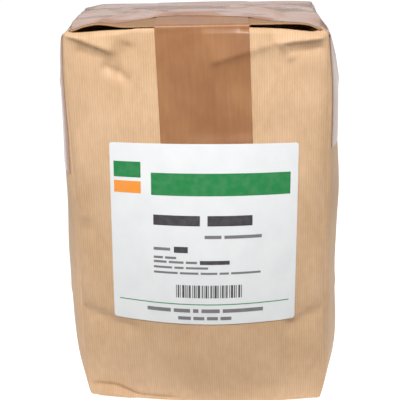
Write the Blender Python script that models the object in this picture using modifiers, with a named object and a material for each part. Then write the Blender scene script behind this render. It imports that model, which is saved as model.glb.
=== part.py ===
"""Sealed kraft paper packet, packed full of dried bladderwrack.

A block-bottom bag of brown kraft paper stands on its flat base. It bulges with
its contents, most on the front and back and low down. Its top is folded flat:
the sides are tucked in as gussets, and the pinched mouth is laid forward over
them as a flap. Two strips of packing tape hold the flap, one from front to back
and one from side to side, and a square label covers the lower end of the first.

Metres, +Z up, the front towards -Y, the origin under the middle of the base.
"""

import math

import bmesh
import bpy

MM = 0.001

# The bag's creases, and how far its panels bulge past them.
CREASE_HALF_WIDTH = 69.5 * MM
CREASE_HALF_DEPTH = 45.0 * MM
BAG_HEIGHT = 217.0 * MM
BAG_CUTS = (16, 10, 22)
FILL_CUTS = (10, 8, 14)
FRONT_BULGE = 18.0 * MM
BACK_BULGE = 14.0 * MM
SIDE_BULGE = 10.5 * MM
BASE_BULGE = 4.0 * MM
BASE_SIDE_BULGE = 2.0 * MM
BASE_DRAWN_IN = 2.5 * MM
TOP_DRAWN_IN = 1.5 * MM
TOP_SIDE_PULL = 3.0 * MM

# How it has settled: its base is turned a little, and its top leans to its left.
BASE_TURN = math.radians(2.2)
TOP_LEAN = 2.6 * MM
# From the base's middle to the middle of the settled packet's own box.
BOX_MIDDLE_X = -0.61 * MM
BOX_MIDDLE_Y = -2.99 * MM

# The paper, thicker than real paper so that it is a sound solid.
WALL = 1.0 * MM
TOP_LAYERS = 3.0 * MM
TUCK_GAP = 0.8 * MM

# The flap that closes the mouth, and the slits that stay open under its edge.
FLAP_THICKNESS = 2.0 * MM
FLAP_ROOT = 24.0 * MM
FLAP_GAP = 0.5 * MM
SLIT_LIFT = 2.2 * MM
SLIT_AT = 54.0 * MM
SLIT_HALF_LENGTH = 16.0 * MM
MOUTH_GAP = 0.5 * MM

# What is stuck on, and what is inside.
FRONT_TAPE_WIDTH = 50.0 * MM
SIDE_TAPE_WIDTH = 75.0 * MM
TAPE_THICKNESS = 0.6 * MM
STUCK_GAP = 0.45 * MM
FRONT_TAPE_MIDDLE = 2.8 * MM
FRONT_TAPE_END = 130.0 * MM
BACK_TAPE_END = 140.0 * MM
SIDE_TAPE_END = 146.0 * MM
SIDE_TAPE_MIDDLE = 3.0 * MM
LABEL_SIDE = 100.0 * MM
LABEL_TOP = 157.8 * MM
LABEL_THICKNESS = 0.5 * MM
LABEL_CORNER = 3.0 * MM
FILL_GAP = 1.0 * MM

KRAFT = (0.53, 0.36, 0.21)
BROWN_TAPE = (0.40, 0.21, 0.11)
CLEAR_TAPE = (0.50, 0.38, 0.33)
LABEL_WHITE = (0.88, 0.86, 0.84)
DRIED_WEED = (0.06, 0.05, 0.025)


def clear_scene():
    for old in list(bpy.data.objects):
        bpy.data.objects.remove(old, do_unlink=True)


def new_collection(name):
    collection = bpy.data.collections.new(name)
    bpy.context.scene.collection.children.link(collection)
    return collection


def new_material(name, colour, roughness):
    material = bpy.data.materials.new(name)
    material.use_nodes = True
    shader = material.node_tree.nodes["Principled BSDF"]
    shader.inputs["Base Color"].default_value = (*colour, 1.0)
    shader.inputs["Roughness"].default_value = roughness
    shader.inputs["Metallic"].default_value = 0.0
    return material


def settle(point):
    """Where a point of the straight packet ends up in the one that has settled."""
    x, y, z = point
    share = z / BAG_HEIGHT
    turn = BASE_TURN * (1 - share)
    x_turned = x * math.cos(turn) + y * math.sin(turn)
    y_turned = y * math.cos(turn) - x * math.sin(turn)
    return x_turned - TOP_LEAN * share - BOX_MIDDLE_X, y_turned - BOX_MIDDLE_Y, z


def finish_mesh(bm, name, collection, material):
    """A new object that holds the bmesh, settled, with its faces turned outwards."""
    for vertex in bm.verts:
        vertex.co = settle(vertex.co)
    bm.normal_update()
    bmesh.ops.recalc_face_normals(bm, faces=bm.faces)
    mesh = bpy.data.meshes.new(name)
    bm.to_mesh(mesh)
    bm.free()
    mesh.materials.append(material)
    thing = bpy.data.objects.new(name, mesh)
    collection.objects.link(thing)
    return thing


def half_width(z):
    """From the middle to the vertical creases, drawn in at the base and the top."""
    base = BASE_DRAWN_IN * math.exp(-z / (10 * MM))
    top = TOP_DRAWN_IN * math.exp(-(BAG_HEIGHT - z) / (8 * MM))
    return CREASE_HALF_WIDTH - base - top


def half_depth(z):
    return CREASE_HALF_DEPTH - 0.5 * BASE_DRAWN_IN * math.exp(-z / (10 * MM))


def sag(z, bulge):
    """The bulge of the front or back panel at a height: fullest at a quarter of it."""
    share = min(max(z / BAG_HEIGHT, 0.0), 1.0)
    swell = max(math.sin(math.pi * share**0.6), 0.0) ** 1.4
    return BASE_BULGE * (1 - share) + (bulge - BASE_BULGE) * swell


def side_swell(z):
    """The bulge of a side panel: nearly even, and pulled in by the tuck at the top."""
    from_middle = 2 * min(max(z / BAG_HEIGHT, 0.0), 1.0) - 1
    sharpness = 8 if from_middle < 0 else 6
    full = 1 - abs(from_middle) ** sharpness
    fuller = 1 - 0.15 * from_middle
    foot = BASE_SIDE_BULGE * (1 - z / BAG_HEIGHT)
    pull = TOP_SIDE_PULL * math.exp(-(BAG_HEIGHT - z) / (6 * MM))
    return foot + (SIDE_BULGE - BASE_SIDE_BULGE / 2) * full * fuller - pull


def bag_point(across, along, z, inset):
    """A point of the bag's cross-section, where -1 and 1 are its panels, moved in by inset."""
    width = half_width(z) + side_swell(z) * math.cos(math.pi / 2 * along) - inset
    bulge = sag(z, FRONT_BULGE if along < 0 else BACK_BULGE)
    depth = half_depth(z) + bulge * math.cos(math.pi / 2 * across) - inset
    return across * width, along * depth, z


def row_height(up, floor, ceiling):
    """The height of a row from -1 to 1: rows lie closer near the base and the top."""
    share = 0.5 + 0.5 * (0.6 * up + 0.4 * math.sin(math.pi / 2 * up))
    return floor + (ceiling - floor) * share


def block(name, cuts, inset, floor, ceiling, collection, material):
    """A cube cut into a lattice and swollen to the bag's form, between two heights."""
    bm = bmesh.new()
    bmesh.ops.create_cube(bm, size=2.0)
    for axis, count in enumerate(cuts):
        normal = [0.0, 0.0, 0.0]
        normal[axis] = 1.0
        for step in range(1, count):
            place = [0.0, 0.0, 0.0]
            place[axis] = 2 * step / count - 1
            geometry = bm.verts[:] + bm.edges[:] + bm.faces[:]
            bmesh.ops.bisect_plane(bm, geom=geometry, plane_co=place, plane_no=normal)
    for vertex in bm.verts:
        across, along, up = vertex.co
        z = row_height(up, floor, ceiling)
        vertex.co = bag_point(across, along, z, inset)
    return finish_mesh(bm, name, collection, material)


def flap_lift(x, y):
    """How far the flap stands off the top: nothing at its root, most at its two slits."""
    forward = min(max(-y / CREASE_HALF_DEPTH, 0.0), 1.0)
    slit = math.exp(-(((abs(x) - SLIT_AT) / SLIT_HALF_LENGTH) ** 2))
    return SLIT_LIFT * slit * forward**2


def top_surface(x, y):
    """The height of the packet's upper surface: the bag's back half, then the flap."""
    rise = min(max((FLAP_ROOT - y) / FLAP_ROOT, 0.0), 1.0)
    rise = rise * rise * (3 - 2 * rise)
    return BAG_HEIGHT + rise * (FLAP_GAP + FLAP_THICKNESS) + flap_lift(x, y)


def flap(collection, material):
    """The folded mouth: a sheet sunk in the top behind its root, clear of it in front."""
    bm = bmesh.new()
    bmesh.ops.create_grid(bm, x_segments=28, y_segments=10, size=1.0)
    front = -half_depth(BAG_HEIGHT) + 0.6 * MM
    back = FLAP_ROOT - 2 * MM
    for vertex in bm.verts:
        y = front + (back - front) * (vertex.co.y + 1) / 2
        x = vertex.co.x * (side_x(y, BAG_HEIGHT, 1) - 1 * MM)
        vertex.co = (x, y, top_surface(x, y))
    thing = finish_mesh(bm, "flap", collection, material)
    shell = thing.modifiers.new("layers", "SOLIDIFY")
    shell.thickness = FLAP_THICKNESS
    shell.offset = -1.0 if thing.data.polygons[0].normal.z > 0 else 1.0
    return thing


def mouth(collection, material):
    """The way in between the flap's layers: along the flap, then down into the bag."""
    bm = bmesh.new()
    rows = (
        (-60 * MM, 0.0),
        (-45 * MM, 0.0),
        (-33 * MM, 0.0),
        (-22 * MM, 0.0),
        (-11 * MM, 0.0),
        (-2 * MM, 0.0),
        (0.0, 0.0),
        (0.4 * MM, -1.2 * MM),
        (0.4 * MM, -8 * MM),
    )
    bmesh.ops.create_grid(bm, x_segments=25, y_segments=len(rows) - 1, size=1.0)
    for vertex in bm.verts:
        row = round((vertex.co.y + 1) / 2 * (len(rows) - 1))
        y, drop = rows[row]
        x = vertex.co.x * (side_x(y, BAG_HEIGHT, 1) - 3 * MM)
        middle = top_surface(x, min(y, 0.0)) - FLAP_THICKNESS / 2
        vertex.co = (x, y, middle + drop)
    thing = finish_mesh(bm, "mouth_cutter", collection, material)
    gap = thing.modifiers.new("gap", "SOLIDIFY")
    gap.thickness = MOUTH_GAP
    gap.offset = 0.0
    gap.use_even_offset = True
    return thing


def tuck(side, collection, material):
    """The pocket of a gusset: a thin triangle cut in under the top from one side."""
    bm = bmesh.new()
    bmesh.ops.create_cone(
        bm,
        cap_ends=True,
        segments=3,
        radius1=1.0,
        radius2=1.0,
        depth=TUCK_GAP,
    )
    apex = max(bm.verts, key=lambda vertex: vertex.co.y).co.y
    clear_of_side = 6 * MM
    outer = half_width(BAG_HEIGHT) + clear_of_side
    reach = CREASE_HALF_DEPTH + clear_of_side
    for vertex in bm.verts:
        is_apex = vertex.co.y > apex - 0.01
        x = outer - reach if is_apex else outer
        y = 0.0 if is_apex else math.copysign(CREASE_HALF_DEPTH, vertex.co.x)
        z = BAG_HEIGHT - TOP_LAYERS / 2 + vertex.co.z
        vertex.co = (side * x, y, z)
    return finish_mesh(bm, f"tuck_cutter_{'left' if side < 0 else 'right'}", collection, material)


def combine(thing, other, operation):
    """A Boolean of two objects, applied, with the second one taken away."""
    step = thing.modifiers.new(operation.lower(), "BOOLEAN")
    step.operation = operation
    step.object = other
    graph = bpy.context.evaluated_depsgraph_get()
    result = bpy.data.meshes.new_from_object(thing.evaluated_get(graph))
    thing.modifiers.clear()
    thing.data = result
    bpy.data.objects.remove(other, do_unlink=True)


def paper_bag(collection, material):
    bag = block("paper_bag", BAG_CUTS, 0.0, 0.0, BAG_HEIGHT, collection, material)
    hollow = block("hollow", FILL_CUTS, WALL, WALL, BAG_HEIGHT - TOP_LAYERS, collection, material)
    combine(bag, flap(collection, material), "UNION")
    combine(bag, hollow, "DIFFERENCE")
    combine(bag, mouth(collection, material), "DIFFERENCE")
    for side in (-1, 1):
        combine(bag, tuck(side, collection, material), "DIFFERENCE")
    return bag


def fill(collection, material):
    inset = WALL + FILL_GAP
    top = BAG_HEIGHT - TOP_LAYERS - FILL_GAP
    return block("dried_bladderwrack_fill", FILL_CUTS, inset, inset, top, collection, material)


def front_y(x, z, sign):
    """The front panel's y for sign -1, the back panel's for sign 1."""
    across = min(max(x / half_width(z), -1.0), 1.0)
    bulge = sag(z, FRONT_BULGE if sign < 0 else BACK_BULGE)
    return sign * (half_depth(z) + bulge * math.cos(math.pi / 2 * across))


def side_x(y, z, sign):
    along = min(max(y / half_depth(z), -1.0), 1.0)
    return sign * (half_width(z) + side_swell(z) * math.cos(math.pi / 2 * along))


def strip(name, route, width, segments, collection, material):
    """A tape laid along a route of rows: the route gives them at each place across it."""
    bm = bmesh.new()
    rows = len(route(0.0)) - 1
    bmesh.ops.create_grid(bm, x_segments=segments, y_segments=rows, size=1.0)
    for vertex in bm.verts:
        row = round((vertex.co.y + 1) / 2 * rows)
        vertex.co = route(vertex.co.x * width / 2)[row]
    return finish_mesh(bm, name, collection, material)


def thicken(thing, thickness, outward_sign):
    shell = thing.modifiers.new("thickness", "SOLIDIFY")
    shell.thickness = thickness
    shell.offset = outward_sign
    shell.use_even_offset = True


def spaced(start, end, count):
    return [start + (end - start) * step / count for step in range(count + 1)]


def heights_above(end):
    """The heights of a tape's rows up a wall: its end, then the bag's own rows."""
    count = BAG_CUTS[2]
    rows = [row_height(2 * step / count - 1, 0.0, BAG_HEIGHT) for step in range(count)]
    return [end] + [z for z in rows if z > end + 2 * MM]


def front_back_route(x_off):
    """Up the front, over the flap and down the back, just clear of the paper."""
    x = FRONT_TAPE_MIDDLE + x_off
    top = BAG_HEIGHT
    off = STUCK_GAP
    edge = half_depth(top) + off
    route = []
    for z in heights_above(FRONT_TAPE_END):
        route.append((x, front_y(x, z, -1) - off, z))
    for y in spaced(-edge, edge, 13):
        route.append((x, y, top_surface(x, y) + off))
    for z in reversed(heights_above(BACK_TAPE_END)):
        route.append((x, front_y(x, z, 1) + off, z))
    return route


def side_side_route(y_off):
    """Up the left side, across the top over the other tape, and down the right side."""
    top = BAG_HEIGHT
    y = SIDE_TAPE_MIDDLE + y_off
    off = STUCK_GAP
    over = 2 * STUCK_GAP + TAPE_THICKNESS
    edge = abs(side_x(y, top, 1)) + off
    route = []
    for z in heights_above(SIDE_TAPE_END):
        route.append((side_x(y, z, -1) - off, y, z))
    for x in spaced(-edge, edge, 22):
        from_tape = abs(x - FRONT_TAPE_MIDDLE) - FRONT_TAPE_WIDTH / 2
        near = min(max((6 * MM - from_tape) / (4 * MM), 0.0), 1.0)
        route.append((x, y, top_surface(x, y) + off + (over - off) * near))
    for z in reversed(heights_above(SIDE_TAPE_END)):
        route.append((side_x(y, z, 1) + off, y, z))
    return route


def label(collection, material):
    """A square sheet with rounded corners, laid on the front over the tape."""
    bm = bmesh.new()
    bmesh.ops.create_grid(bm, x_segments=10, y_segments=12, size=LABEL_SIDE / 2)
    corners = [vertex for vertex in bm.verts if len(vertex.link_edges) == 2]
    bmesh.ops.bevel(bm, geom=corners, offset=LABEL_CORNER, segments=4, profile=0.5, affect="VERTICES")
    off = 2 * STUCK_GAP + TAPE_THICKNESS
    middle = LABEL_TOP - LABEL_SIDE / 2
    for vertex in bm.verts:
        x = vertex.co.x
        z = middle + vertex.co.y
        vertex.co = (x, front_y(x, z, -1) - off, z)
    thing = finish_mesh(bm, "label", collection, material)
    faces_front = thing.data.polygons[0].normal.y < 0
    thicken(thing, LABEL_THICKNESS, 1.0 if faces_front else -1.0)
    return thing


def main():
    clear_scene()
    packet = new_collection("kraft_paper_packet")
    kraft = new_material("kraft_paper", KRAFT, 0.8)
    paper_bag(packet, kraft)
    fill(packet, new_material("dried_weed", DRIED_WEED, 0.9))

    brown = new_material("brown_tape", BROWN_TAPE, 0.35)
    front_back = strip("tape_front_back", front_back_route, FRONT_TAPE_WIDTH, 6, packet, brown)
    clear = new_material("clear_tape", CLEAR_TAPE, 0.25)
    side_side = strip("tape_side_to_side", side_side_route, SIDE_TAPE_WIDTH, 12, packet, clear)
    for tape in (front_back, side_side):
        # The tape's outer side is the one that faces up where it crosses the top.
        middle = max(tape.data.polygons, key=lambda face: face.center.z)
        thicken(tape, TAPE_THICKNESS, 1.0 if middle.normal.z > 0 else -1.0)

    label(packet, new_material("label_paper", LABEL_WHITE, 0.5))


main()
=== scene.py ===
"""The looks of a sealed kraft paper packet of dried bladderwrack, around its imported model."""

import math

import bmesh
import bpy
import numpy as np
from mathutils import Matrix, Vector, noise


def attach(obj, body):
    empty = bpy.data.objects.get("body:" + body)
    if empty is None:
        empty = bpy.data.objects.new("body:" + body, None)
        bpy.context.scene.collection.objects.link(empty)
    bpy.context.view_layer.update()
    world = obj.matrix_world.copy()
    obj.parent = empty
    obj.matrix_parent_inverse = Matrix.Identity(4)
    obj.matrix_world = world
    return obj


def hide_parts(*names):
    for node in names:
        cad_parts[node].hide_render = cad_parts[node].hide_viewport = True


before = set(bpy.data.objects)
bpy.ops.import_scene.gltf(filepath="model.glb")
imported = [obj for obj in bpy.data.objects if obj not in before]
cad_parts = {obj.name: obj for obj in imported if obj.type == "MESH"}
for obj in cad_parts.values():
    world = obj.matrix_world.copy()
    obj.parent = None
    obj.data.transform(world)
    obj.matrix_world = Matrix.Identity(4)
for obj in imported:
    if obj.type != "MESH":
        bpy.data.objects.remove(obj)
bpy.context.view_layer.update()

# The paper bag: one sheet of ribbed brown kraft paper, folded to a block-bottom bag, filled
# until its panels swell between the creases, and crumpled a little at the top by the closing.
MM = 0.001
BAG_HEIGHT = 217.0
CREASE_HALF_WIDTH = 69.5
CREASE_HALF_DEPTH = 45.0
FRONT_BULGE = 18.0
BACK_BULGE = 14.0
SIDE_BULGE = 10.5
BASE_BULGE = 4.0
BASE_SIDE_BULGE = 2.0
BASE_DRAWN_IN = 2.5
TOP_DRAWN_IN = 1.5
TOP_SIDE_PULL = 3.0
BASE_TURN = math.radians(2.2)
TOP_LEAN = 2.6
BOX_MIDDLE = (-0.61, -2.99)
WALL_CREASE_RADIUS = 2.2
SOFT_CREASE = 5.0
BASE_CREASE_RADIUS = 0.9
LOOSER_ON_THE_LEFT = 0.6
RIB_PITCH = 1.3
SIDE_MAP_START = 300
BAG_CUTS = 124


def half_width(z):
    """The middle of the bag to a side's creases, drawn in at the base and the top."""
    drawn_in = BASE_DRAWN_IN * np.exp(-z / 10) + TOP_DRAWN_IN * np.exp(-(BAG_HEIGHT - z) / 8)
    return CREASE_HALF_WIDTH - drawn_in


def half_depth(z):
    return CREASE_HALF_DEPTH - 0.5 * BASE_DRAWN_IN * np.exp(-z / 10)


def sag(z, bulge):
    """How far the front or back stands out in the middle of its width."""
    share = np.clip(z / BAG_HEIGHT, 0, 1)
    swell = np.maximum(np.sin(np.pi * share**0.6), 0) ** 1.4
    return BASE_BULGE * (1 - share) + (bulge - BASE_BULGE) * swell


def side_swell(z):
    """How far a side stands out between its creases."""
    from_middle = 2 * np.clip(z / BAG_HEIGHT, 0, 1) - 1
    sharpness = np.where(from_middle < 0, 8, 6)
    full = 1 - np.abs(from_middle) ** sharpness
    foot = BASE_SIDE_BULGE * (1 - z / BAG_HEIGHT)
    pull = TOP_SIDE_PULL * np.exp(-(BAG_HEIGHT - z) / 6)
    return foot + (SIDE_BULGE - BASE_SIDE_BULGE / 2) * full * (1 - 0.15 * from_middle) - pull


def smooth(value):
    """0 below 0, 1 above 1, and an easy slope between."""
    value = np.clip(value, 0, 1)
    return value * value * (3 - 2 * value)


def ripple(u, v, size_u, size_v, seed):
    """Soft noise between about -1 and 1 over a surface, for arrays of places in millimetres."""
    u, v = np.broadcast_arrays(u, v)
    places = zip(np.ravel(u) / size_u, np.ravel(v) / size_v)
    values = [noise.noise(Vector((a, b, seed))) for a, b in places]
    return 2 * np.array(values).reshape(u.shape)


def ridge(u, v, start, end, height, above, below):
    """A fold line that stands out, and falls away over one reach above it and one below it."""
    along = np.array(end, float) - np.array(start, float)
    length = np.hypot(*along)
    along /= length
    du, dv = u - start[0], v - start[1]
    run = (du * along[0] + dv * along[1]) / length
    off = dv * along[0] - du * along[1]
    reach = np.where(off > 0, above, below)
    ends = smooth((run + 0.08) / 0.16) * smooth((1.05 - run) / 0.22)
    return height * ends * np.exp(-np.sqrt(off**2 + 0.1) / reach)


def dent(u, v, middle, radius_u, radius_v, depth):
    """A soft hollow."""
    return -depth * np.exp(-((u - middle[0]) / radius_u) ** 2 - ((v - middle[1]) / radius_v) ** 2)


def front_relief(x, z):
    """How far the front paper stands out of the plain swollen form, in millimetres."""
    out = ridge(x, z, (-72, 218.5), (-41, 204.5), 3.4, 7.5, 1.5)
    out -= ridge(x, z, (-62, 207.5), (-42, 200.5), 0.9, 2.0, 5.0)
    out += ridge(x, z, (41, 209), (67, 214), 3.6, 3.5, 1.6)
    out -= ridge(x, z, (45, 204), (67, 208.5), 1.6, 2.2, 5.0)
    out += ridge(x, z, (8, 199), (42, 209), 1.8, 11.0, 2.2)
    out += ridge(x, z, (43, 208.5), (49.5, 200), 1.9, 3.5, 1.8)
    out -= ridge(x, z, (-41, 193), (-34, 210), 2.2, 3.5, 2.0)
    out -= ridge(x, z, (-48, 199), (-33, 190), 2.1, 2.0, 3.4)
    out += dent(x, z, (58, 188), 12, 10, 1.2) + dent(x, z, (-57, 126), 7, 16, 1.5)
    out += dent(x, z, (-60, 168), 9, 18, 0.9) + dent(x, z, (64, 120), 8, 30, 0.8)
    out -= ridge(x, z, (-74, 62), (-33, 52), 3.6, 2.0, 8.0)
    out -= ridge(x, z, (46, 53), (76, 63), 3.2, 2.0, 8.0)
    out -= ridge(x, z, (-74, 107), (-57, 112), 2.0, 1.6, 6.0)
    under_label = smooth((55 - np.abs(x - 2)) / 7) * smooth((56 - np.abs(z - 108)) / 7)
    crumple = 0.6 * ripple(x, z, 34, 46, 3.1) + 0.42 * ripple(x, z, 14, 24, 8.7)
    out = (out + crumple) * (1 - 0.9 * under_label)
    foot_top = 8.5 - 5.5 * smooth((x + 52) / 16)
    foot = smooth((x + 68) / 8) * smooth((-8 - x) / 12)
    valley = np.exp(-(((z - foot_top - 1.2) / 1.8) ** 2))
    out += foot * (3.4 * smooth((foot_top - z) / 3) - 1.3 * valley) * smooth((z + 2) / 5)
    right_foot = smooth((x - 44) / 8) * smooth((69 - x) / 6)
    return out + right_foot * 1.2 * smooth((3.6 - z) / 1.6)


def back_relief(x, z):
    """The back paper: the glued seam down its middle, a fold across and crumples."""
    seam = 0.6 * smooth((x + 11) / 1.2) * smooth((11 - x) / 3)
    fold = ridge(x, z, (-74, 60), (74, 62), 0.5, 7.0, 2.2)
    crumple = 0.45 * ripple(x, z, 30, 44, 21.3) + 0.12 * ripple(x, z, 8, 15, 5.2)
    return seam + fold + crumple + dent(x, z, (40, 196), 18, 8, 0.8)


def side_relief(y, z, sign):
    """A side panel: its middle crease, the creases of the tuck, a slack place and crumples."""
    slack_on_the_right = 3.2 * np.exp(-(((z - 62) / 50) ** 2))
    slack_on_the_left = 1.2 * np.exp(-(((z - 150) / 50) ** 2))
    slack = np.where(sign > 0, slack_on_the_right, slack_on_the_left) * smooth((50 - np.abs(y)) / 30)
    middle = -0.9 * np.exp(-np.abs(y) / 2.5) * smooth((z - 30) / 20)
    fan = ridge(y, z, (-44, 214), (-6, 178), 0.8, 5.0, 2.4)
    fan += ridge(y, z, (6, 178), (44, 214), 0.8, 5.0, 2.4)
    fold = ridge(y, z, (-48, 60), (48, 60), 0.5, 6.0, 2.2)
    crumple = np.where(sign > 0, ripple(y, z, 24, 38, 33.4), ripple(y, z, 26, 40, 12.9))
    return middle + fan + fold - slack + 0.6 * crumple


def crease_radius(z):
    """The creases between the walls are nearly gone halfway up, where the bag is fullest."""
    return WALL_CREASE_RADIUS + SOFT_CREASE * np.sin(np.pi * np.clip(z / BAG_HEIGHT, 0, 1)) ** 0.7


def side_x(y, z, sign):
    """The x of a side's paper, relief included, for sign -1 on the left and 1 on the right."""
    along = np.clip(y / half_depth(z), -1, 1)
    from_crease = (1 - np.abs(along)) * half_depth(z)
    relief = smooth(np.minimum(from_crease, BAG_HEIGHT - z) / 3) * side_relief(y, z, sign)
    radius = crease_radius(z)
    rounded = radius - np.sqrt(radius**2 - np.maximum(radius - from_crease, 0) ** 2)
    return sign * (half_width(z) + side_swell(z) * np.cos(np.pi / 2 * along) + relief - rounded)


def base_relief(x, y):
    """The block bottom: two corner folds lie under the front flap, and it under the back one."""
    corner = (np.abs(x) > CREASE_HALF_WIDTH - 24) & (np.abs(y) < np.abs(x) - 22)
    front_flap = smooth((12 - y) / 1.5)
    lift = np.where(corner, 0.5, 0.0) + 0.25 * front_flap * ~corner
    return 0.12 + lift


def shoulder_drop(x, y):
    """How far the top sags towards its front corners, more on the right, and at the back left."""
    drop = 0.4 * smooth((-22 - x) / 48) + 2.3 * smooth((x - 22) / 52)
    back_left = 1.6 * smooth((-54 - x) / 15) * smooth((y - 6) / 30)
    return drop * smooth((-8 - y) / 34) + back_left


def front_arch(x, y):
    """How far the front top crease stands up between its corners, where the flap presses on it."""
    return 0.75 * smooth((62 - np.abs(x)) / 20) * smooth((-30 - y) / 12)


def crown_lift(x, y, z):
    """The arch and the drop of the shoulders, which fade in over the last of the height."""
    return (front_arch(x, y) - shoulder_drop(x, y)) * smooth((z - 188) / 28)


def pocket_depth(x, y):
    """The top sinks a little behind its front crease, where the mouth's layers leave a pocket."""
    beside_the_tape = smooth((x + 66) / 8) * smooth((-30 - x) / 8)
    beside_the_tape += smooth((x - 27) / 3) * smooth((63 - x) / 6)
    return 3.3 * beside_the_tape * smooth((y + 44.4) / 1.2) * smooth((-16 - y) / 10)


def settle(x, y, z):
    """The straight packet's points, turned at the base, leaning at the top, and centred."""
    share = z / BAG_HEIGHT
    turn = BASE_TURN * (1 - share)
    x_turned = x * np.cos(turn) + y * np.sin(turn) - TOP_LEAN * share - BOX_MIDDLE[0]
    y_turned = y * np.cos(turn) - x * np.sin(turn) - BOX_MIDDLE[1]
    return np.stack([x_turned, y_turned, z + 0 * x], axis=-1) * MM


def points_of(mesh):
    flat = np.empty(3 * len(mesh.vertices))
    mesh.vertices.foreach_get("co", flat)
    return flat.reshape(-1, 3)


def place_points(piece, points):
    piece.data.vertices.foreach_set("co", np.ravel(points))
    piece.data.update()


def new_piece(name):
    """The primitive just added, renamed."""
    piece = bpy.context.object
    piece.name = name
    piece.data.name = name
    return piece


def select_only(piece):
    bpy.ops.object.select_all(action="DESELECT")
    piece.select_set(True)
    bpy.context.view_layer.objects.active = piece


def set_uv(piece, u, v):
    """A UV map in millimetres, so that a pattern follows the paper round its creases."""
    layer = piece.data.uv_layers.active or piece.data.uv_layers.new(name="sheet")
    corners = np.empty(len(piece.data.loops), dtype=np.int64)
    piece.data.loops.foreach_get("vertex_index", corners)
    layer.data.foreach_set("uv", np.ravel(np.stack([u[corners], v[corners]], axis=-1)))


bpy.ops.object.select_all(action="DESELECT")
bpy.ops.mesh.primitive_cube_add(size=2)
bag = new_piece("kraft_bag")
bpy.ops.object.mode_set(mode="EDIT")
bpy.ops.mesh.select_all(action="SELECT")
bpy.ops.mesh.subdivide(number_cuts=BAG_CUTS)
bpy.ops.object.mode_set(mode="OBJECT")

across, along, up = points_of(bag.data).T
share = (up + 1) / 2
z = BAG_HEIGHT * (share - 0.1 * np.sin(2 * np.pi * share))
width = half_width(z) + side_swell(z) * np.cos(np.pi / 2 * along)
bulge = np.where(along < 0, FRONT_BULGE, BACK_BULGE)
depth = half_depth(z) + sag(z, bulge) * np.cos(np.pi / 2 * across)
x, y = across * width, along * depth

# Each crease is rounded: points near two faces move in, onto a ball that rolls in the corner.
near = np.stack([(1 - np.abs(across)) * width, (1 - np.abs(along)) * depth,
                 np.minimum(z, BAG_HEIGHT - z)])
base_share = 1 - smooth(z / 9)
base_radius = BASE_CREASE_RADIUS + LOOSER_ON_THE_LEFT * smooth((52 - x) / 90)
radius = crease_radius(z) + (base_radius - crease_radius(z)) * base_share
corner = np.maximum(radius - near, 0)
length = np.maximum(np.sqrt((corner**2).sum(axis=0)), 1e-9)
inward = corner * (1 - corner.max(axis=0) / length)
x = x - np.sign(across) * inward[0]
y = y - np.sign(along) * inward[1]
z = z - np.sign(up) * inward[2]

is_front, is_back = along < -0.9999, along > 0.9999
is_base, is_top = up < -0.9999, up > 0.9999
is_side = np.abs(across) > 0.9999
fade = smooth(np.minimum(near[0], near[2]) / 3)
y = y - np.where(is_front, fade * front_relief(x, z), 0)
y = y + np.where(is_back, fade * back_relief(x, z), 0)
side_fade = smooth(np.minimum(near[1], near[2]) / 3)
x = x + np.where(is_side, np.sign(across) * side_fade * side_relief(y, z, across), 0)
base_fade = smooth(np.minimum(near[0], near[1]) / 3)
z = z + np.where(is_base, base_fade * base_relief(x, y), 0)
off_the_floor = 1.5 * smooth((5 - x) / 75) + 0.9 * smooth((x - 42) / 24)
z = z + off_the_floor * smooth((-15 - y) / 25) * (1 - smooth(z / 14))
z = z - np.where(is_top, pocket_depth(x, y), 0)
z = z + crown_lift(x, y, z)
place_points(bag, settle(x, y, z))

# Ribs run up the walls: the map's u goes round the bag, its v up it. The sides' u starts far
# from the front's, so that no pattern repeats.
round_u = np.where(is_side & ~is_front & ~is_back, y + SIDE_MAP_START * np.sign(across), x)
set_uv(bag, round_u, np.where(is_base | is_top, y, z))
select_only(bag)
bpy.ops.object.shade_smooth()


def add_node(tree, kind, **settings):
    node = tree.nodes.new(kind)
    for name, value in settings.items():
        setattr(node, name, value)
    return node


def blend_colours(tree, factor, first, second, mode="MIX"):
    """A colour mix of two sockets or colours, by a socket or a number."""
    mix = add_node(tree, "ShaderNodeMix", data_type="RGBA", blend_type=mode)
    for socket, value in ((mix.inputs["Factor"], factor), (mix.inputs[6], first),
                          (mix.inputs[7], second)):
        if isinstance(value, bpy.types.NodeSocket):
            tree.links.new(value, socket)
        else:
            socket.default_value = value
    return mix.outputs[2]


def stretched_noise(tree, vector, scale, detail=3.0, size=1.0):
    """Noise on a map in millimetres, stretched by a scale for each axis."""
    mapping = add_node(tree, "ShaderNodeMapping")
    mapping.inputs["Scale"].default_value = scale
    tree.links.new(vector, mapping.inputs["Vector"])
    texture = add_node(tree, "ShaderNodeTexNoise")
    texture.inputs["Scale"].default_value = size
    texture.inputs["Detail"].default_value = detail
    tree.links.new(mapping.outputs["Vector"], texture.inputs["Vector"])
    return texture.outputs["Fac"]


def ramp(tree, factor, low, high):
    """A value stretched so that low becomes 0 and high becomes 1."""
    spread = add_node(tree, "ShaderNodeMapRange")
    spread.inputs["From Min"].default_value = low
    spread.inputs["From Max"].default_value = high
    tree.links.new(factor, spread.inputs["Value"])
    return spread.outputs["Result"]


def paper_ribs(tree, vector):
    """The fine ribs of the paper: bands across the map, a little wavy."""
    wave = add_node(tree, "ShaderNodeTexWave", wave_type="BANDS", bands_direction="X")
    # A wave texture of scale 1 repeats every pi / 10 of its vector.
    wave.inputs["Scale"].default_value = math.pi / 10 / RIB_PITCH
    wave.inputs["Distortion"].default_value = 0.6
    wave.inputs["Detail"].default_value = 1.0
    wave.inputs["Detail Scale"].default_value = 0.4
    tree.links.new(vector, wave.inputs["Vector"])
    return wave.outputs["Fac"]


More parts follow.
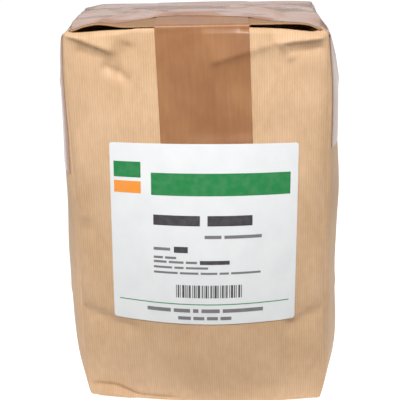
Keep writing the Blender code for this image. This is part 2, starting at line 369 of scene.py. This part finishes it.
def kraft_material(name, shade):
    """Ribbed brown kraft: ribs, long fibres, specks and broad blotches, faintly shiny, multiplied by the
    given colour of painted shade (white for none).
    """
    material = bpy.data.materials.new(name)
    material.use_nodes = True
    tree = material.node_tree
    shader = tree.nodes["Principled BSDF"]
    vector = add_node(tree, "ShaderNodeTexCoord").outputs["UV"]
    ribs = paper_ribs(tree, vector)
    fibres = stretched_noise(tree, vector, (2.6, 0.09, 1), 4)
    blotches = stretched_noise(tree, vector, (0.03, 0.022, 1), 3)
    specks = stretched_noise(tree, vector, (2.2, 1.4, 1), 2)
    mottle = stretched_noise(tree, vector, (0.28, 0.16, 1), 4)

    colour = blend_colours(tree, ramp(tree, blotches, 0.35, 0.65),
                           (0.57, 0.377, 0.223, 1), (0.65, 0.445, 0.28, 1))
    colour = blend_colours(tree, ramp(tree, fibres, 0.3, 0.7), colour,
                           (0.92, 0.895, 0.865, 1), "MULTIPLY")
    mottle_tint = blend_colours(tree, ramp(tree, mottle, 0.35, 0.65),
                                (0.955, 0.94, 0.92, 1), (1.02, 1.01, 1.0, 1))
    colour = blend_colours(tree, 1.0, colour, mottle_tint, "MULTIPLY")
    rib_tint = blend_colours(tree, ramp(tree, ribs, 0.15, 0.85),
                             (0.93, 0.915, 0.90, 1), (1.02, 1.02, 1.02, 1))
    colour = blend_colours(tree, 1.0, colour, rib_tint, "MULTIPLY")
    colour = blend_colours(tree, ramp(tree, specks, 0.64, 0.76), colour, (0.42, 0.27, 0.16, 1))
    # Painted shade: the whole colour is multiplied by the given shade, which is darker for the flap's
    # copy.
    colour = blend_colours(tree, 1.0, colour, (*shade, 1), "MULTIPLY")
    tree.links.new(colour, shader.inputs["Base Color"])
    shader.inputs["Roughness"].default_value = 0.62
    shader.inputs["Specular IOR Level"].default_value = 0.32

    height = blend_colours(tree, 0.35, ribs, fibres)
    bump = add_node(tree, "ShaderNodeBump")
    bump.inputs["Strength"].default_value = 0.5
    bump.inputs["Distance"].default_value = 0.09 * MM
    tree.links.new(height, bump.inputs["Height"])
    tree.links.new(bump.outputs["Normal"], shader.inputs["Normal"])
    return material


kraft = kraft_material("ribbed_kraft", (1.0, 1.0, 1.0))
bag.data.materials.append(kraft)
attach(bag, "root")
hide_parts("paper_bag")

# The flap: the bag's mouth, pinched flat, folded forward over the top and turned under at its
# front edge. Two slits stay open under that edge, where the tape doesn't hold it down.
FLAP_ROOT = 26.0
FLAP_FRONT = -44.2
FLAP_RISE = 1.7
FLAP_COLUMNS = 120
FLAP_THICKNESS = 0.35
LIP_RADIUS = 0.42
UNDER_LENGTH = 20.0
CUT_CORNER = 3.0


def opened(x, start, peak, end):
    """A slit's opening from 0 to 1 along x, widest at its peak."""
    rising = smooth((x - start) / (peak - start))
    falling = smooth((end - x) / (end - peak))
    return np.where(x < peak, rising, falling)


def slit_opening(x):
    """How far the flap's lip stands up off the bag, in the left slit and in the longer right one."""
    left = 1.9 * opened(x, -63, -50, -35)
    right = 1.2 * opened(x, 30, 53, 66) + 0.5 * smooth((x - 27) / 2) * smooth((66 - x) / 8)
    return left + right


def top_surface(x, y):
    """The height of the packet's upper surface: the back half of the top, then the flap."""
    rise = smooth((FLAP_ROOT - y) / FLAP_ROOT)
    forward = np.clip(-y / CREASE_HALF_DEPTH, 0, 1) ** 2
    puff = 0.9 * np.exp(-((y + 14) / 14) ** 2) * np.exp(-(x / 55) ** 4)
    crumple = 0.35 * ripple(x, y, 26, 13, 40.2) * smooth((44 - np.abs(y)) / 8)
    pressed = 0.85 * smooth((np.abs(x) - 57) / 9) * smooth((-22 - y) / 16)
    lifted = rise * FLAP_RISE * (1 - pressed) + forward * slit_opening(x) + puff + crumple * rise
    return BAG_HEIGHT + lifted - shoulder_drop(x, y)


def corner_cut(y):
    """How far the flap and its tape stay short of the side creases, towards the front."""
    return CUT_CORNER * smooth((-20 - y) / 22)


def laid_sheet(name, rows, material, thickness, offset):
    """A sheet laid along rows of points: a flat grid first, then placed and given thickness."""
    columns = len(rows[0][0]) - 1
    bpy.ops.object.select_all(action="DESELECT")
    bpy.ops.mesh.primitive_grid_add(x_subdivisions=columns, y_subdivisions=len(rows) - 1, size=2)
    sheet = new_piece(name)
    sideways, lengthways, _ = points_of(sheet.data).T
    column = np.rint((sideways + 1) / 2 * columns).astype(int)
    row = np.rint((lengthways + 1) / 2 * (len(rows) - 1)).astype(int)
    laid = np.array([np.broadcast_arrays(*place) for place in rows])
    place_points(sheet, settle(*laid[row, :, column].T))

    # The map runs across the sheet by its columns, and along it by its true length.
    steps = np.linalg.norm(np.diff(laid[:, :, columns // 2], axis=0), axis=1)
    length = np.concatenate([[0], np.cumsum(steps)])
    widths = np.linalg.norm(np.diff(laid[len(rows) // 2].T, axis=0), axis=1)
    across = np.concatenate([[0], np.cumsum(widths)])
    set_uv(sheet, across[column], length[row])

    select_only(sheet)
    highest = max(sheet.data.polygons, key=lambda face: face.center.z)
    if highest.normal.z < 0:
        turn_over(sheet)
    give_thickness(sheet, thickness, offset)
    sheet.data.materials.append(material)
    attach(sheet, "root")
    return sheet


def turn_over(sheet):
    select_only(sheet)
    bpy.ops.object.mode_set(mode="EDIT")
    bpy.ops.mesh.select_all(action="SELECT")
    bpy.ops.mesh.flip_normals()
    bpy.ops.object.mode_set(mode="OBJECT")


def give_thickness(sheet, thickness, offset):
    select_only(sheet)
    shell = sheet.modifiers.new("thickness", "SOLIDIFY")
    shell.thickness = thickness * MM
    shell.offset = offset
    bpy.ops.object.modifier_apply(modifier=shell.name)
    bpy.ops.object.shade_smooth_by_angle(angle=math.radians(40))


sideways = np.linspace(-1, 1, FLAP_COLUMNS + 1)
flap_rows = []
for y in np.linspace(FLAP_ROOT, FLAP_FRONT, 46):
    x = sideways * (side_x(y, BAG_HEIGHT, 1) - 0.4 - corner_cut(y))
    flap_rows.append((x, y, top_surface(x, y)))
lip_middle = top_surface(x, FLAP_FRONT) - LIP_RADIUS
for angle in np.radians([25, 50, 75, 100, 125, 150, 180]):
    lip_y = FLAP_FRONT - LIP_RADIUS * np.sin(angle)
    flap_rows.append((x, lip_y, lip_middle + LIP_RADIUS * np.cos(angle)))
for share in np.linspace(0.1, 1, 8):
    under_z = lip_middle - LIP_RADIUS - 0.25 * share * slit_opening(x)
    flap_rows.append((x, FLAP_FRONT + share * UNDER_LENGTH, under_z))
# The flap's kraft is the bag's kraft multiplied darker and warmer: painted shade on the top of the
# packet, partly standing for the doubled paper there.
shaded_flap_kraft = kraft_material("shaded_flap_kraft", (0.60, 0.51, 0.42))
flap = laid_sheet("kraft_flap", flap_rows, shaded_flap_kraft, FLAP_THICKNESS, -1)
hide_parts("paper_bag")

# The front tape: glossy packing tape 48 mm wide, pressed on from under the label up the front,
# over the flap's lip and down the back. The kraft's ribs show through it.
FRONT_TAPE_WIDTH = 48.4
FRONT_TAPE_MIDDLE = 3.2
FRONT_TAPE_LEAN = 0.024
FRONT_TAPE_END = 130.0
BACK_TAPE_END = 140.0
TAPE_OFF = 0.28
TAPE_FILM = 0.1
TAPE_BEND = 1.6
WALL_ROWS_END = BAG_HEIGHT - 2


def panel_y(x, z, sign):
    """The y of the front paper for sign -1, of the back paper for sign 1, relief included."""
    if sign < 0:
        z = z - crown_lift(x, -CREASE_HALF_DEPTH, z)
    across = np.clip(x / half_width(z), -1, 1)
    bulge = FRONT_BULGE if sign < 0 else BACK_BULGE
    relief = front_relief(x, z) if sign < 0 else back_relief(x, z)
    fade = smooth(np.minimum((1 - np.abs(across)) * half_width(z), BAG_HEIGHT - z) / 3)
    return sign * (half_depth(z) + sag(z, bulge) * np.cos(np.pi / 2 * across) + fade * relief)


def tape_material(name, light, dark, coat, roughness):
    """Clear tape on kraft: its glue darkens the paper in blotches, and faint ribs show through."""
    material = bpy.data.materials.new(name)
    material.use_nodes = True
    tree = material.node_tree
    shader = tree.nodes["Principled BSDF"]
    vector = add_node(tree, "ShaderNodeTexCoord").outputs["UV"]
    blotches = stretched_noise(tree, vector, (0.045, 0.03, 1), 3)
    streaks = stretched_noise(tree, vector, (0.5, 0.05, 1), 3)
    ribs = paper_ribs(tree, vector)
    colour = blend_colours(tree, ramp(tree, blotches, 0.36, 0.66), dark, light)
    colour = blend_colours(tree, ramp(tree, streaks, 0.35, 0.75), colour,
                           (0.90, 0.88, 0.87, 1), "MULTIPLY")
    rib_tint = blend_colours(tree, ramp(tree, ribs, 0.2, 0.8),
                             (0.97, 0.965, 0.96, 1), (1.0, 1.0, 1.0, 1))
    colour = blend_colours(tree, 1.0, colour, rib_tint, "MULTIPLY")
    tree.links.new(colour, shader.inputs["Base Color"])
    rough = add_node(tree, "ShaderNodeMapRange")
    rough.inputs["To Min"].default_value = roughness
    rough.inputs["To Max"].default_value = roughness + 0.12
    tree.links.new(ramp(tree, blotches, 0.3, 0.7), rough.inputs["Value"])
    tree.links.new(rough.outputs["Result"], shader.inputs["Roughness"])
    shader.inputs["Specular IOR Level"].default_value = 0.38
    shader.inputs["Coat Weight"].default_value = coat
    shader.inputs["Coat Roughness"].default_value = 0.12
    bump = add_node(tree, "ShaderNodeBump")
    bump.inputs["Strength"].default_value = 0.35
    bump.inputs["Distance"].default_value = 0.05 * MM
    tree.links.new(blend_colours(tree, 0.5, ribs, streaks), bump.inputs["Height"])
    tree.links.new(bump.outputs["Normal"], shader.inputs["Normal"])
    return material


straight = FRONT_TAPE_MIDDLE + np.linspace(-1, 1, 45) * FRONT_TAPE_WIDTH / 2
tape_rows = []
for z in np.linspace(FRONT_TAPE_END, WALL_ROWS_END, 90):
    x = straight + FRONT_TAPE_LEAN * (BAG_HEIGHT - z)
    tape_rows.append((x, panel_y(x, z, -1) - TAPE_OFF, z))
lip = top_surface(x, -CREASE_HALF_DEPTH)
for share in (0.35, 0.7):
    z = WALL_ROWS_END + share * (lip - WALL_ROWS_END)
    tape_rows.append((x, -CREASE_HALF_DEPTH - TAPE_OFF, z))
for angle in np.radians([20, 50, 80]):
    out = (1 + TAPE_OFF) * np.cos(angle)
    tape_rows.append((x, 1 - CREASE_HALF_DEPTH - out, lip - 1 + (1 + TAPE_OFF) * np.sin(angle)))
for y in np.linspace(2 - CREASE_HALF_DEPTH, CREASE_HALF_DEPTH - 1.8, 44):
    tape_rows.append((straight, y, top_surface(straight, y) + TAPE_OFF))
for angle in np.radians([20, 45, 70]):
    back_y = CREASE_HALF_DEPTH - TAPE_BEND + (TAPE_BEND + TAPE_OFF) * np.sin(angle)
    tape_rows.append((straight, back_y, BAG_HEIGHT - TAPE_BEND + (TAPE_BEND + TAPE_OFF) * np.cos(angle)))
for z in np.linspace(WALL_ROWS_END, BACK_TAPE_END, 40):
    tape_rows.append((straight, panel_y(straight, z, 1) + TAPE_OFF, z))
brown_tape = tape_material("brown_tape", (0.345, 0.165, 0.068, 1), (0.28, 0.12, 0.05, 1), 0.06, 0.42)
front_tape = laid_sheet("tape_over_the_front", tape_rows, brown_tape, TAPE_FILM, 1)
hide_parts("tape_front_back")

# The side tape: a wider glossy strip, laid last, across the top and down both sides. It is
# gathered along its length over the flap, so its front edge draws back in the middle.
SIDE_TAPE_FRONT = -43.4
SIDE_TAPE_BACK = 40.5
SIDE_TAPE_END_LEFT = 138.8
SIDE_TAPE_END_RIGHT = 151.0
SIDE_SHOULDER = BAG_HEIGHT - 2.4
FRONT_EDGE_OFF = 0.12
DRAWN_BACK = 22.0


def front_edge(x):
    """The tape covers the flap's lip beside the slits and is drawn back between them."""
    over_the_lip = 1.2 * smooth((66 - np.abs(x)) / 7)
    drawn_back = (DRAWN_BACK + over_the_lip) * np.exp(-((np.abs(x + 3) / 42) ** 3))
    return SIDE_TAPE_FRONT - over_the_lip + drawn_back


def tape_wrinkles(x, y):
    """The folds gathered into the tape, which run along it."""
    folds = ridge(x, y, (-50, -39), (-29, -1), 1.5, 3.0, 2.0)
    folds += ridge(x, y, (-30, -2), (-19, -16), 1.4, 2.5, 2.5)
    folds += ridge(x, y, (-21, -17), (14, -17), 1.1, 5.0, 2.0)
    folds += ridge(x, y, (8, 20), (24, 19), 1.5, 3.0, 2.5)
    folds += ridge(x, y, (20, 20), (47, -29), 1.7, 3.0, 2.4)
    folds += ridge(x, y, (44, 28), (66, -10), 1.5, 3.0, 2.0)
    folds += ridge(x, y, (-64, -10), (-36, 22), 1.1, 3.0, 2.4)
    return (folds + 0.35 + 0.35 * ripple(x, y, 34, 9, 60.4)) * smooth((68 - np.abs(x)) / 12)


share = np.linspace(0, 1, 61)
side_y = SIDE_TAPE_FRONT + (SIDE_TAPE_BACK - SIDE_TAPE_FRONT) * share
side_rows = []
left_shoulder = SIDE_SHOULDER - shoulder_drop(-70, side_y)
right_shoulder = SIDE_SHOULDER - shoulder_drop(70, side_y)
for up in np.linspace(0, 1, 48):
    z = SIDE_TAPE_END_LEFT + (left_shoulder - SIDE_TAPE_END_LEFT) * up
    y = side_y + 1.6 * (1 - up)
    side_rows.append((side_x(y, z, -1) - TAPE_OFF, y, z))
edge = side_x(side_y, BAG_HEIGHT, 1) - 0.8 * corner_cut(side_y)
for side, angles in ((-1, (15, 40, 65)), (1, (65, 40, 15))):
    for angle in np.radians(angles):
        x = side * (edge - TAPE_BEND + (TAPE_BEND + TAPE_OFF) * np.cos(angle))
        bend_middle = top_surface(side * edge, side_y) - TAPE_BEND
        side_rows.append((x, side_y, bend_middle + (TAPE_BEND + TAPE_OFF) * np.sin(angle)))
    if side < 0:
        for step in np.linspace(-1, 1, 110):
            x = step * (edge - 1.8)
            y = front_edge(x) + (SIDE_TAPE_BACK - front_edge(x)) * share
            over_tape = smooth((FRONT_TAPE_WIDTH / 2 + 4 - np.abs(x - FRONT_TAPE_MIDDLE)) / 4)
            from_edge = smooth((y - front_edge(x)) / 3)
            lifted = TAPE_OFF - FRONT_EDGE_OFF + tape_wrinkles(x, y)
            off = FRONT_EDGE_OFF + lifted * from_edge
            height = top_surface(x, y) + off + (TAPE_OFF + TAPE_FILM) * over_tape
            side_rows.append((x, y, height))
for up in np.linspace(1, 0, 48):
    z = SIDE_TAPE_END_RIGHT + (right_shoulder - SIDE_TAPE_END_RIGHT) * up
    y = side_y + 3.4 * (1 - up)
    side_rows.append((side_x(y, z, 1) + TAPE_OFF, y, z))
pink_tape = tape_material("pinkish_tape", (0.425, 0.257, 0.192, 1), (0.355, 0.202, 0.148, 1), 0.2, 0.24)
side_tape = laid_sheet("tape_over_the_sides", side_rows, pink_tape, TAPE_FILM, 1)
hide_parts("tape_side_to_side")

# The label: a square of smooth white paper with small round corners, stuck on the front over
# the lower end of the tape, and swollen with the bag.
LABEL_SIDE = 100.0
LABEL_TOP = 157.8
LABEL_CORNER = 3.0
LABEL_OFF = 0.45
LABEL_THICKNESS = 0.12
LABEL_MIDDLE_Z = LABEL_TOP - LABEL_SIDE / 2
LABEL_MIDDLE_X = 2.2
LABEL_TURN = math.radians(-1.0)


def label_place(x, height, off):
    """A point on the label's face, or off it, from its own x and height in millimetres."""
    z = LABEL_MIDDLE_Z + height * math.cos(LABEL_TURN) + x * math.sin(LABEL_TURN)
    x = LABEL_MIDDLE_X + x * math.cos(LABEL_TURN) - height * math.sin(LABEL_TURN)
    return settle(x, panel_y(x, z, -1) - off, z)


bpy.ops.object.select_all(action="DESELECT")
bpy.ops.mesh.primitive_grid_add(x_subdivisions=60, y_subdivisions=60, size=LABEL_SIDE)
label = new_piece("white_label")
bpy.ops.object.mode_set(mode="EDIT")
cage = bmesh.from_edit_mesh(label.data)
for vertex in cage.verts:
    vertex.select = len(vertex.link_edges) == 2
cage.select_flush_mode()
bmesh.update_edit_mesh(label.data)
bpy.ops.mesh.select_mode(type="VERT")
bpy.ops.mesh.bevel(offset=LABEL_CORNER / 2, segments=6, affect="VERTICES")
bpy.ops.object.mode_set(mode="OBJECT")
flat = points_of(label.data)
place_points(label, label_place(flat[:, 0], flat[:, 1], LABEL_OFF))
set_uv(label, flat[:, 0], flat[:, 1])
if label.data.polygons[0].normal.y > 0:
    turn_over(label)
give_thickness(label, LABEL_THICKNESS, 1)


def label_material():
    """Smooth coated paper, very slightly mottled."""
    material = bpy.data.materials.new("label_paper")
    material.use_nodes = True
    tree = material.node_tree
    shader = tree.nodes["Principled BSDF"]
    vector = add_node(tree, "ShaderNodeTexCoord").outputs["UV"]
    mottle = stretched_noise(tree, vector, (0.08, 0.06, 1), 3)
    grain = stretched_noise(tree, vector, (3, 3, 1), 2)
    colour = blend_colours(tree, ramp(tree, mottle, 0.35, 0.65),
                           (0.68, 0.69, 0.695, 1), (0.715, 0.72, 0.725, 1))
    tree.links.new(colour, shader.inputs["Base Color"])
    shader.inputs["Roughness"].default_value = 0.85
    shader.inputs["Specular IOR Level"].default_value = 0.1
    bump = add_node(tree, "ShaderNodeBump")
    bump.inputs["Strength"].default_value = 0.15
    bump.inputs["Distance"].default_value = 0.02 * MM
    tree.links.new(grain, bump.inputs["Height"])
    tree.links.new(bump.outputs["Normal"], shader.inputs["Normal"])
    return material


label.data.materials.append(label_material())
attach(label, "root")
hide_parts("label")

# The print on the label: generic marks only, plain bars in place of words and a plain row of
# upright bars, printed in green, orange and dark ink on the label's face.
INK_THICKNESS = 0.03
PRINT_OFF = LABEL_OFF + LABEL_THICKNESS + 0.02


def printed_bars(name, bars, colour, roughness):
    """Inked rectangles, each given by its left, bottom, width and height on the label."""
    parts = []
    for left, bottom, wide, high in bars:
        columns = max(2, round(wide / 2))
        rows = max(2, round(high / 2))
        bpy.ops.object.select_all(action="DESELECT")
        bpy.ops.mesh.primitive_grid_add(x_subdivisions=columns, y_subdivisions=rows, size=2)
        part = new_piece(name)
        flat = points_of(part.data)
        x = left + wide * (flat[:, 0] + 1) / 2
        height = bottom + high * (flat[:, 1] + 1) / 2
        place_points(part, label_place(x, height, PRINT_OFF))
        parts.append(part)
    bpy.ops.object.select_all(action="DESELECT")
    for part in parts:
        part.select_set(True)
    bpy.context.view_layer.objects.active = parts[0]
    bpy.ops.object.join()
    ink = new_piece(name)
    if ink.data.polygons[0].normal.y > 0:
        turn_over(ink)
    give_thickness(ink, INK_THICKNESS, 1)
    material = bpy.data.materials.new(name)
    material.use_nodes = True
    tree = material.node_tree
    shader = tree.nodes["Principled BSDF"]
    vector = add_node(tree, "ShaderNodeTexCoord").outputs["Object"]
    uneven = stretched_noise(tree, vector, (260, 260, 260), 2)
    paler = tuple(0.94 * part + 0.03 for part in colour)
    mixed = blend_colours(tree, ramp(tree, uneven, 0.4, 0.7), (*colour, 1), (*paler, 1))
    tree.links.new(mixed, shader.inputs["Base Color"])
    shader.inputs["Roughness"].default_value = roughness
    ink.data.materials.append(material)
    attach(ink, "root")
    return ink


def word_row(left, bottom, lengths, high, gap):
    """Bars for a row of words, one after another."""
    bars = []
    for length in lengths:
        bars.append((left, bottom, length, high))
        left += length + gap
    return bars


printed_bars("print_green", [(-28, 22.5, 74, 12), (-48, 31.5, 14.5, 8.5)], (0.01, 0.20, 0.05), 0.45)
printed_bars("print_green_rule", [(-46.5, -38.4, 93, 0.6)], (0.05, 0.27, 0.11), 0.45)
printed_bars("print_orange", [(-48, 23, 14.5, 6.5)], (0.80, 0.27, 0.03), 0.45)

dark_rows = word_row(-27, 6.3, [25, 24], 5.6, 4)
dark_rows += word_row(-16, -8.6, [7.5], 3.4, 2)
dark_rows += word_row(-2, -15.0, [16], 2.2, 2)
printed_bars("print_dark", dark_rows, (0.045, 0.04, 0.045), 0.5)

grey_rows = word_row(0.5, -0.6, [9, 20], 1.8, 1.6)
grey_rows += word_row(-27, -7.6, [9], 1.6, 1.6)
grey_rows += word_row(-27, -12.2, [5, 6], 1.3, 1.2)
grey_rows += word_row(-27, -14.6, [7, 8, 6], 1.3, 1.2)
grey_rows += word_row(-27, -17.6, [10, 5, 12], 1.2, 1.2)
grey_rows += word_row(-27, -20.6, [13, 10, 9, 5, 16], 1.2, 1.2)
grey_rows += word_row(-31, -43.0, [13, 9, 3, 10, 22], 2.2, 1.6)
grey_rows += word_row(-14, -47.4, [7, 6, 6, 6], 2.0, 1.4)
printed_bars("print_grey", grey_rows, (0.17, 0.165, 0.17), 0.5)

upright = []
left = -15.0
step = 0
while left < 21:
    wide = (0.4, 0.8, 0.4, 1.2, 0.6, 0.4, 1.0)[step % 7]
    upright.append((left, -34.2, wide, 7.4))
    left += wide + (0.5, 0.4, 0.9, 0.5)[step % 4]
    step += 1
printed_bars("print_upright_bars", upright, (0.06, 0.055, 0.06), 0.5)

# The contents: a kilogram of dark olive, dried and chopped weed, pressed into a lumpy block by
# the bag, which hides it. It stays clear of the paper, which sinks in at the creases.
FILL_CLEAR = 7.0
FILL_CUTS = 50
bpy.ops.object.select_all(action="DESELECT")
bpy.ops.mesh.primitive_cube_add(size=2)
weed = new_piece("dried_weed_block")
bpy.ops.object.mode_set(mode="EDIT")
bpy.ops.mesh.select_all(action="SELECT")
bpy.ops.mesh.subdivide(number_cuts=FILL_CUTS)
bpy.ops.object.mode_set(mode="OBJECT")
across, along, up = points_of(weed.data).T
z = FILL_CLEAR + (BAG_HEIGHT - 2 * FILL_CLEAR) * (up + 1) / 2
lumps = 1.5 * ripple(40 * across + 60 * along, z, 7, 7, 71.0)
width = half_width(z) + side_swell(z) * np.cos(np.pi / 2 * along) - FILL_CLEAR + lumps
bulge = np.where(along < 0, FRONT_BULGE, BACK_BULGE)
depth = half_depth(z) + sag(z, bulge) * np.cos(np.pi / 2 * across) - FILL_CLEAR + lumps
place_points(weed, settle(across * width, along * depth, z))
select_only(weed)
bpy.ops.object.shade_smooth()
weed_material = bpy.data.materials.new("dried_weed")
weed_material.use_nodes = True
tree = weed_material.node_tree
shader = tree.nodes["Principled BSDF"]
vector = add_node(tree, "ShaderNodeTexCoord").outputs["Object"]
curls = ramp(tree, stretched_noise(tree, vector, (120, 120, 260), 5), 0.35, 0.65)
weed_colour = blend_colours(tree, curls, (0.035, 0.028, 0.014, 1), (0.12, 0.10, 0.05, 1))
tree.links.new(weed_colour, shader.inputs["Base Color"])
shader.inputs["Roughness"].default_value = 0.85
weed.data.materials.append(weed_material)
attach(weed, "root")
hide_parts("dried_bladderwrack_fill")

# The studio: a plain floor, grey in front of the packet and made to read pale behind its front by a
# painted glow, soft light from above and in front, and the camera at the photograph's place.
GLOW_STARTS = -0.095
GLOW_FULL = -0.05
GLOW_STRENGTH = 0.92
bpy.ops.object.select_all(action="DESELECT")
bpy.ops.mesh.primitive_plane_add(size=14, location=(0, 0, 0))
floor = new_piece("floor")
floor_material = bpy.data.materials.new("floor_with_painted_glow")
floor_material.use_nodes = True
floor_shader = floor_material.node_tree.nodes["Principled BSDF"]
floor_shader.inputs["Base Color"].default_value = (0.42, 0.42, 0.42, 1)
floor_shader.inputs["Roughness"].default_value = 0.9
floor_tree = floor_material.node_tree
floor_place = add_node(floor_tree, "ShaderNodeSeparateXYZ")
floor_points = add_node(floor_tree, "ShaderNodeTexCoord").outputs["Object"]
floor_tree.links.new(floor_points, floor_place.inputs["Vector"])
# Painted glow: the floor emits light from just in front of the packet backwards, so it reads white there
# without lighting the packet's front.
painted_floor_glow = add_node(floor_tree, "ShaderNodeMapRange", interpolation_type="SMOOTHSTEP")
painted_floor_glow.inputs["From Min"].default_value = GLOW_STARTS
painted_floor_glow.inputs["From Max"].default_value = GLOW_FULL
painted_floor_glow.inputs["To Min"].default_value = 0.0
painted_floor_glow.inputs["To Max"].default_value = GLOW_STRENGTH
floor_tree.links.new(floor_place.outputs["Y"], painted_floor_glow.inputs["Value"])
floor_tree.links.new(painted_floor_glow.outputs["Result"], floor_shader.inputs["Emission Strength"])
floor_shader.inputs["Emission Color"].default_value = (1, 1, 1, 1)
floor.data.materials.append(floor_material)

world = bpy.context.scene.world or bpy.data.worlds.new("studio")
bpy.context.scene.world = world
world.use_nodes = True
background = world.node_tree.nodes["Background"]
background.inputs["Color"].default_value = (1.0, 1.0, 1.0, 1)
background.inputs["Strength"].default_value = 0.2


def soft_light(name, place, aim, size, power):
    bpy.ops.object.light_add(type="AREA", location=place)
    lamp = bpy.context.object
    lamp.name = name
    lamp.data.shape = "RECTANGLE"
    lamp.data.size, lamp.data.size_y = size
    lamp.data.energy = power
    away = Vector(place) - Vector(aim)
    lamp.rotation_euler = away.to_track_quat("Z", "Y").to_euler()


soft_light("front_box", (-0.03, -0.42, 0.56), (0, -0.03, 0.13), (0.22, 0.16), 3.95)
soft_light("left_box", (-1.1, -0.25, 0.5), (0, 0, 0.12), (0.7, 0.7), 3.0)
soft_light("right_box", (1.1, -0.25, 0.5), (0, 0, 0.12), (0.7, 0.7), 3.0)
soft_light("back_box", (0.0, 1.3, 0.75), (0, 0, 0.2), (1.6, 0.7), 3.5)

CAMERA_PLACE = (8.39 * MM, -531.9 * MM, 301.0 * MM)
CAMERA_PITCH = math.radians(19.84)
CAMERA_TURN = math.radians(1.15)
CAMERA_ROLL = math.radians(1.18)
bpy.ops.object.camera_add(location=CAMERA_PLACE)
camera = bpy.context.object
camera.data.sensor_width = 36.0
camera.data.lens = 86.5
turn = Matrix.Rotation(CAMERA_TURN, 4, "Z") @ Matrix.Rotation(math.pi / 2 - CAMERA_PITCH, 4, "X")
camera.rotation_euler = (turn @ Matrix.Rotation(-CAMERA_ROLL, 4, "Z")).to_euler()
bpy.context.scene.camera = camera
bpy.context.scene.view_settings.view_transform = "Standard"
